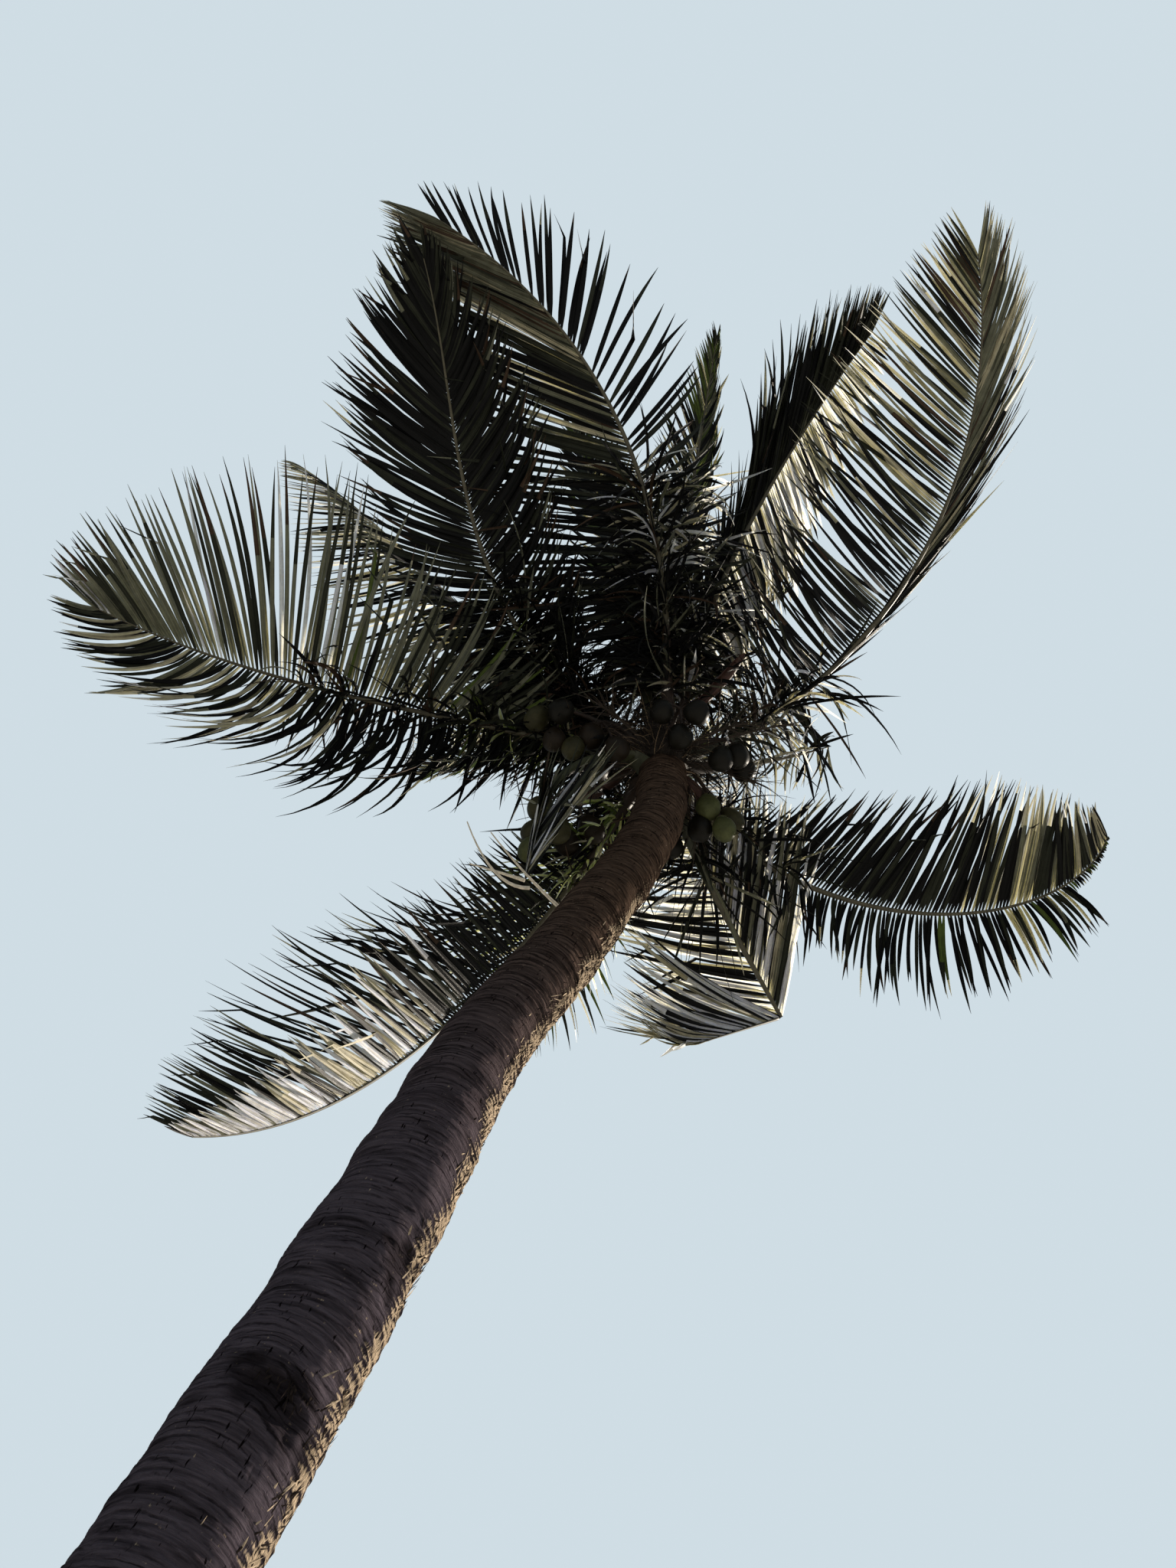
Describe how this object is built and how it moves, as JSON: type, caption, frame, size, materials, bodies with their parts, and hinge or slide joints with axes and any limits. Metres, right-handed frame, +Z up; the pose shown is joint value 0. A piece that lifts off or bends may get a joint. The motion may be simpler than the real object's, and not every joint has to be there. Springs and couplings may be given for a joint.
{
  "type": "coconut palm tree",
  "caption": "Leaning, wind-swept coconut palm: ringed trunk with a root flare and a flat cut at the ground, fibrous crown heart, arching pinnate fronds, green and brown nuts.",
  "frame": {"origin": "middle of the flat cut under the trunk, at ground level", "axes": "+Z up; the trunk leans towards +X and +Y; +Y is the way the picture looks, +X is its right"},
  "size_m": [6.5342, 6.911, 11.8162],
  "materials": {
    "bark": "rough ringed grey-brown bark with fibrous splits",
    "crown_fibre": "matted brown leaf-sheath fibre",
    "leaf": "dark olive green leaflets with paler ribs",
    "young_leaf": "closed pale green young leaf",
    "dry_leaf": "pale straw-coloured dry leaflets",
    "nut": "smooth green and brown husks"
  },
  "bodies": {
    "root": {"crown_heart": "crown_fibre", "frond_back_base": "leaf", "frond_back_left_base": "leaf", "frond_back_left_tip": "leaf", "frond_back_low_base": "leaf", "frond_back_low_tip": "leaf", "frond_back_tip": "leaf", "frond_broken": "dry_leaf", "frond_folded_base": "leaf", "frond_folded_tip": "dry_leaf", "frond_inner_left_base": "leaf", "frond_inner_left_tip": "leaf", "frond_inner_right_base": "leaf", "frond_inner_right_tip": "leaf", "frond_left_back_base": "leaf", "frond_left_back_tip": "leaf", "frond_left_base": "leaf", "frond_left_low_base": "leaf", "frond_left_low_tip": "leaf", "frond_left_tip": "leaf", "frond_right_low_base": "leaf", "frond_right_low_tip": "leaf", "frond_right_tall_base": "leaf", "frond_right_tall_tip": "leaf", "frond_shrivelled": "dry_leaf", "frond_top_base": "leaf", "frond_top_right_base": "leaf", "frond_top_right_tip": "leaf", "frond_top_small_base": "leaf", "frond_top_small_tip": "leaf", "frond_top_tip": "leaf", "frond_upper_left_base": "leaf", "frond_upper_left_tip": "leaf", "spear": "young_leaf", "trunk": "bark"}
  },
  "joints": []
}
